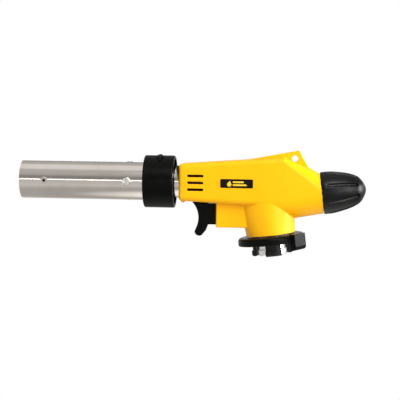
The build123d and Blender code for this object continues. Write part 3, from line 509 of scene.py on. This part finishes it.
LABEL_AHEAD = 17.4  # of the burner axis's start
LABEL_OUT = 13.52  # from the burner axis to the plate's face
LABEL_TAPER = radians(1.917)
PRINT_HEIGHT = 0.03
DROP_CENTRE = (-4.6, 0)
DROP_WIDTH = 2.6
DROP_HEIGHT = 3.7
DROP_FULLNESS = 1.5
DROP_SHARPNESS = 1.4
DROP_LEAN = 0.18  # share of its width
BAR_CORNER = 0.3
BARS = [((-2.4, 0.35), (4.4, 1.45)), ((-2.4, -1.45), (6.2, -0.35))]  # lowest and highest corners


def drop_outline(count=28):
    """A flame-like drop, pointed at the top and leaning a little."""
    points = []
    for step in range(count):
        turn = 2 * pi * step / count
        across = DROP_WIDTH / 2 * sin(turn) * sin(turn / 2) ** DROP_SHARPNESS * DROP_FULLNESS
        up = DROP_HEIGHT / 2 * cos(turn)
        lean = DROP_LEAN * DROP_WIDTH * max(0.0, cos(turn)) ** 2
        points.append((DROP_CENTRE[0] + across + lean, DROP_CENTRE[1] + up))
    return points


def bar_outline(low, high, count=6):
    """A rectangle with round corners."""
    points = []
    corners = [(high[0], high[1], 0), (low[0], high[1], 90), (low[0], low[1], 180), (high[0], low[1], 270)]
    for x, y, start in corners:
        inner_x = x - BAR_CORNER if x == high[0] else x + BAR_CORNER
        inner_y = y - BAR_CORNER if y == high[1] else y + BAR_CORNER
        for step in range(count + 1):
            turn = radians(start + 90 * step / count)
            points.append((inner_x + BAR_CORNER * cos(turn), inner_y + BAR_CORNER * sin(turn)))
    return points


def label_mark():
    outward = NEAR * cos(LABEL_TAPER) + AHEAD * sin(LABEL_TAPER)
    rearward = NEAR * sin(LABEL_TAPER) - AHEAD * cos(LABEL_TAPER)
    centre = BURNER_START + AHEAD * (LABEL_AHEAD * MM) + NEAR * (LABEL_OUT * MM)
    outlines = [drop_outline()] + [bar_outline(low, high) for low, high in BARS]
    form = bmesh.new()
    for points in outlines:
        foot = [form.verts.new(centre + rearward * (x * MM) + RISE * (y * MM)) for x, y in points]
        top = [form.verts.new(corner.co + outward * (PRINT_HEIGHT * MM)) for corner in foot]
        form.faces.new(foot)
        form.faces.new(top)
        join_rings(form, [foot, top])
    piece = new_piece(form, "label_mark", "label_print")
    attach(piece, "torch_body")


label_mark()


# Studio: white to the camera, while the object is lit by separate grey levels and three soft lights.
# Sizes and places in metres.

WHITE = (1, 1, 1, 1)
WARM = (1, 0.985, 0.965)
TENT_POWER = 3.0
# Grey level of the tent by the sine of its elevation, from straight down at 0 to straight up at 1
TENT = [
    (0.00, 0.15), (0.50, 0.15), (0.531, 0.16), (0.540, 1.20), (0.560, 1.20), (0.569, 0.08), (0.70, 0.09),
    (0.79, 0.155), (0.95, 0.175), (0.985, 0.28), (1.00, 0.28),
]
FLOOR_HEIGHT = -0.16
FLOOR_RADIUS = 12
FLOOR_SIDES = 96
FLOOR_REACH = 1.2
# Grey level of the floor by the distance from its middle, as a share of its reach
FLOOR_LIGHT = [(0.0, 1.21), (0.10, 1.21), (0.16, 0.46), (0.22, 0.46), (0.36, 0.66), (1.0, 0.60)]
LIGHT_TARGET = (-0.03, 0, 0.035)
# Name, place, width, height and watts of each soft light
LIGHTS = [
    ("key", (0.36, -0.83, 0.92), 0.6, 0.6, 9.6),
    ("side", (1.15, -0.05, 0.02), 0.7, 0.6, 22),
    ("front_right", (0.75, -0.93, 0.20), 0.22, 0.5, 5),
]


def area_light(name, place_at, width, height, power):
    data = bpy.data.lights.new(name, "AREA")
    data.shape = "RECTANGLE"
    data.size = width
    data.size_y = height
    data.energy = power
    light = bpy.data.objects.new(name, data)
    light.location = place_at
    light.rotation_euler = (Vector(LIGHT_TARGET) - Vector(place_at)).to_track_quat("-Z", "Y").to_euler()
    bpy.context.scene.collection.objects.link(light)


def ramp_of(tree, value, stops):
    """Grey levels along a 0 to 1 value, slightly warm."""
    bands = tree.nodes.new("ShaderNodeValToRGB")
    while len(bands.color_ramp.elements) < len(stops):
        bands.color_ramp.elements.new(0.5)
    for stop, (position, level) in zip(bands.color_ramp.elements, stops):
        stop.position = position
        stop.color = (level * WARM[0], level * WARM[1], level * WARM[2], 1)
    link(tree, value, bands.inputs["Fac"])
    return bands.outputs["Color"]


def white_to_look_at(tree, lighting, shader_kind, output):
    """Pure white to the camera, while the object is lit by the given shader."""
    white = tree.nodes.new(shader_kind)
    white.inputs["Color"].default_value = WHITE
    white.inputs["Strength"].default_value = 1.0
    rays = tree.nodes.new("ShaderNodeLightPath")
    seen = tree.nodes.new("ShaderNodeMixShader")
    link(tree, rays.outputs["Is Camera Ray"], seen.inputs[0])
    link(tree, lighting.outputs[0], seen.inputs[1])
    link(tree, white.outputs[0], seen.inputs[2])
    link(tree, seen.outputs["Shader"], output.inputs["Surface"])


def make_world():
    """White to look at; as a light it is a soft tent with darker bands, which shape the reflections."""
    world = bpy.data.worlds.new("studio")
    bpy.context.scene.world = world
    world.use_nodes = True
    tree = world.node_tree
    lighting = tree.nodes["Background"]
    where = tree.nodes.new("ShaderNodeTexCoord")
    split = tree.nodes.new("ShaderNodeSeparateXYZ")
    link(tree, where.outputs["Generated"], split.inputs["Vector"])
    height = map_range(tree, split.outputs["Z"], -1, 1)
    link(tree, ramp_of(tree, height, TENT), lighting.inputs["Color"])
    lighting.inputs["Strength"].default_value = TENT_POWER
    white_to_look_at(tree, lighting, "ShaderNodeBackground", tree.nodes["World Output"])


def floor_material():
    """White to look at; as a light it has a bright disc below the object and greys around it."""
    material, tree, shader = new_material("floor_white")
    tree.nodes.remove(shader)
    reach = tree.nodes.new("ShaderNodeVectorMath")
    reach.operation = "LENGTH"
    link(tree, place(tree), reach.inputs[0])
    share = map_range(tree, reach.outputs["Value"], 0, FLOOR_REACH)
    glow = tree.nodes.new("ShaderNodeEmission")
    link(tree, ramp_of(tree, share, FLOOR_LIGHT), glow.inputs["Color"])
    white_to_look_at(tree, glow, "ShaderNodeEmission", tree.nodes["Material Output"])
    return material


def make_floor():
    mesh = bpy.data.meshes.new("floor")
    grid = bmesh.new()
    bmesh.ops.create_circle(grid, cap_ends=True, segments=FLOOR_SIDES, radius=FLOOR_RADIUS)
    grid.to_mesh(mesh)
    grid.free()
    mesh.materials.append(floor_material())
    floor = bpy.data.objects.new("floor", mesh)
    floor.location.z = FLOOR_HEIGHT
    bpy.context.scene.collection.objects.link(floor)


def make_studio():
    make_world()
    make_floor()
    for light in LIGHTS:
        area_light(*light)
    bpy.context.scene.view_settings.view_transform = "Standard"


make_studio()
